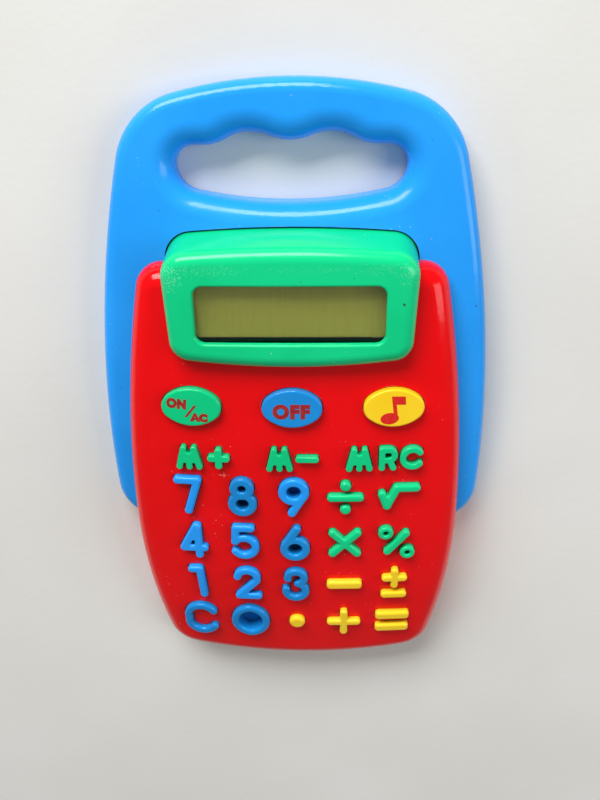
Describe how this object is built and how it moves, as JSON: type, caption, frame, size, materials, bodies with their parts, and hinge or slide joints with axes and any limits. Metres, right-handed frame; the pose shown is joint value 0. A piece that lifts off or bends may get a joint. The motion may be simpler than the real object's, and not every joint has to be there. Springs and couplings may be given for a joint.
{
  "type": "toy calculator",
  "caption": "Child's toy calculator with raised moulded keys, a display hood and a carrying handle moulded into the case.",
  "frame": {"origin": "middle of the bounding box's base, on the flat back", "axes": "+Z the way the keys face, +Y towards the carrying handle, +X to the right as the keys are read"},
  "size_m": [0.1356, 0.2226, 0.0315],
  "materials": {
    "blue_plastic": "glossy moulded plastic",
    "red_plastic": "glossy moulded plastic",
    "green_plastic": "glossy moulded plastic",
    "yellow_plastic": "glossy moulded plastic",
    "clear_lens": "clear, smooth",
    "lcd_glass": "satin, olive",
    "black_plastic": "matte",
    "grey_rubber": "matte",
    "circuit_board": "satin",
    "ribbon": "satin",
    "disc_metal": "satin",
    "cell_case": "satin, plain",
    "contact_metal": "bright",
    "red_wire": "satin",
    "black_wire": "satin",
    "screw_metal": "bright"
  },
  "bodies": {
    "case": {"rear_shell": "blue_plastic", "handle_shell": "blue_plastic", "face_shell": "red_plastic", "display_hood": "green_plastic", "display_lens": "clear_lens", "lcd_panel": "lcd_glass", "lcd_bezel": "black_plastic", "lcd_connector": "grey_rubber", "display_board": "circuit_board", "display_ribbon": "ribbon", "main_board": "circuit_board", "chip_cover": "black_plastic", "keypad_sheet": "grey_rubber", "sound_disc": "disc_metal", "battery_upper": "cell_case", "battery_lower": "cell_case", "battery_link": "contact_metal", "battery_springs": "contact_metal", "battery_terminals": "contact_metal", "lead_positive": "red_wire", "lead_negative": "black_wire", "case_screws": "screw_metal", "board_screws": "screw_metal"},
    "key_on": {"key_on": "green_plastic"},
    "key_off": {"key_off": "blue_plastic"},
    "key_music": {"key_music": "yellow_plastic"},
    "key_m_plus": {"key_m_plus": "green_plastic"},
    "key_m_minus": {"key_m_minus": "green_plastic"},
    "key_mrc": {"key_mrc": "green_plastic"},
    "key_7": {"key_7": "blue_plastic"},
    "key_8": {"key_8": "blue_plastic"},
    "key_9": {"key_9": "blue_plastic"},
    "key_divide": {"key_divide": "green_plastic"},
    "key_root": {"key_root": "green_plastic"},
    "key_4": {"key_4": "blue_plastic"},
    "key_5": {"key_5": "blue_plastic"},
    "key_6": {"key_6": "blue_plastic"},
    "key_multiply": {"key_multiply": "green_plastic"},
    "key_percent": {"key_percent": "green_plastic"},
    "key_1": {"key_1": "blue_plastic"},
    "key_2": {"key_2": "blue_plastic"},
    "key_3": {"key_3": "blue_plastic"},
    "key_minus": {"key_minus": "yellow_plastic"},
    "key_sign": {"key_sign": "yellow_plastic"},
    "key_clear": {"key_clear": "blue_plastic"},
    "key_0": {"key_0": "blue_plastic"},
    "key_point": {"key_point": "yellow_plastic"},
    "key_plus": {"key_plus": "yellow_plastic"},
    "key_equals": {"key_equals": "yellow_plastic"},
    "battery_door": {"battery_door": "blue_plastic"}
  },
  "joints": [
    {"name": "press_key_on", "type": "slide", "parent": "case", "child": "key_on", "axis": [0, 0, -1], "range_m": [0, 0.0015], "stiffness_N_per_m": 200, "springref_m": -0.001},
    {"name": "press_key_off", "type": "slide", "parent": "case", "child": "key_off", "axis": [0, 0, -1], "range_m": [0, 0.0015], "stiffness_N_per_m": 200, "springref_m": -0.001},
    {"name": "press_key_music", "type": "slide", "parent": "case", "child": "key_music", "axis": [0, 0, -1], "range_m": [0, 0.0015], "stiffness_N_per_m": 200, "springref_m": -0.001},
    {"name": "press_key_m_plus", "type": "slide", "parent": "case", "child": "key_m_plus", "axis": [0, 0, -1], "range_m": [0, 0.0015], "stiffness_N_per_m": 200, "springref_m": -0.001},
    {"name": "press_key_m_minus", "type": "slide", "parent": "case", "child": "key_m_minus", "axis": [0, 0, -1], "range_m": [0, 0.0015], "stiffness_N_per_m": 200, "springref_m": -0.001},
    {"name": "press_key_mrc", "type": "slide", "parent": "case", "child": "key_mrc", "axis": [0, 0, -1], "range_m": [0, 0.0015], "stiffness_N_per_m": 200, "springref_m": -0.001},
    {"name": "press_key_7", "type": "slide", "parent": "case", "child": "key_7", "axis": [0, 0, -1], "range_m": [0, 0.0015], "stiffness_N_per_m": 200, "springref_m": -0.001},
    {"name": "press_key_8", "type": "slide", "parent": "case", "child": "key_8", "axis": [0, 0, -1], "range_m": [0, 0.0015], "stiffness_N_per_m": 200, "springref_m": -0.001},
    {"name": "press_key_9", "type": "slide", "parent": "case", "child": "key_9", "axis": [0, 0, -1], "range_m": [0, 0.0015], "stiffness_N_per_m": 200, "springref_m": -0.001},
    {"name": "press_key_divide", "type": "slide", "parent": "case", "child": "key_divide", "axis": [0, 0, -1], "range_m": [0, 0.0015], "stiffness_N_per_m": 200, "springref_m": -0.001},
    {"name": "press_key_root", "type": "slide", "parent": "case", "child": "key_root", "axis": [0, 0, -1], "range_m": [0, 0.0015], "stiffness_N_per_m": 200, "springref_m": -0.001},
    {"name": "press_key_4", "type": "slide", "parent": "case", "child": "key_4", "axis": [0, 0, -1], "range_m": [0, 0.0015], "stiffness_N_per_m": 200, "springref_m": -0.001},
    {"name": "press_key_5", "type": "slide", "parent": "case", "child": "key_5", "axis": [0, 0, -1], "range_m": [0, 0.0015], "stiffness_N_per_m": 200, "springref_m": -0.001},
    {"name": "press_key_6", "type": "slide", "parent": "case", "child": "key_6", "axis": [0, 0, -1], "range_m": [0, 0.0015], "stiffness_N_per_m": 200, "springref_m": -0.001},
    {"name": "press_key_multiply", "type": "slide", "parent": "case", "child": "key_multiply", "axis": [0, 0, -1], "range_m": [0, 0.0015], "stiffness_N_per_m": 200, "springref_m": -0.001},
    {"name": "press_key_percent", "type": "slide", "parent": "case", "child": "key_percent", "axis": [0, 0, -1], "range_m": [0, 0.0015], "stiffness_N_per_m": 200, "springref_m": -0.001},
    {"name": "press_key_1", "type": "slide", "parent": "case", "child": "key_1", "axis": [0, 0, -1], "range_m": [0, 0.0015], "stiffness_N_per_m": 200, "springref_m": -0.001},
    {"name": "press_key_2", "type": "slide", "parent": "case", "child": "key_2", "axis": [0, 0, -1], "range_m": [0, 0.0015], "stiffness_N_per_m": 200, "springref_m": -0.001},
    {"name": "press_key_3", "type": "slide", "parent": "case", "child": "key_3", "axis": [0, 0, -1], "range_m": [0, 0.0015], "stiffness_N_per_m": 200, "springref_m": -0.001},
    {"name": "press_key_minus", "type": "slide", "parent": "case", "child": "key_minus", "axis": [0, 0, -1], "range_m": [0, 0.0015], "stiffness_N_per_m": 200, "springref_m": -0.001},
    {"name": "press_key_sign", "type": "slide", "parent": "case", "child": "key_sign", "axis": [0, 0, -1], "range_m": [0, 0.0015], "stiffness_N_per_m": 200, "springref_m": -0.001},
    {"name": "press_key_clear", "type": "slide", "parent": "case", "child": "key_clear", "axis": [0, 0, -1], "range_m": [0, 0.0015], "stiffness_N_per_m": 200, "springref_m": -0.001},
    {"name": "press_key_0", "type": "slide", "parent": "case", "child": "key_0", "axis": [0, 0, -1], "range_m": [0, 0.0015], "stiffness_N_per_m": 200, "springref_m": -0.001},
    {"name": "press_key_point", "type": "slide", "parent": "case", "child": "key_point", "axis": [0, 0, -1], "range_m": [0, 0.0015], "stiffness_N_per_m": 200, "springref_m": -0.001},
    {"name": "press_key_plus", "type": "slide", "parent": "case", "child": "key_plus", "axis": [0, 0, -1], "range_m": [0, 0.0015], "stiffness_N_per_m": 200, "springref_m": -0.001},
    {"name": "press_key_equals", "type": "slide", "parent": "case", "child": "key_equals", "axis": [0, 0, -1], "range_m": [0, 0.0015], "stiffness_N_per_m": 200, "springref_m": -0.001},
    {"name": "slide_battery_door", "type": "slide", "parent": "case", "child": "battery_door", "axis": [0, -1, 0], "range_m": [0, 0.005]}
  ]
}
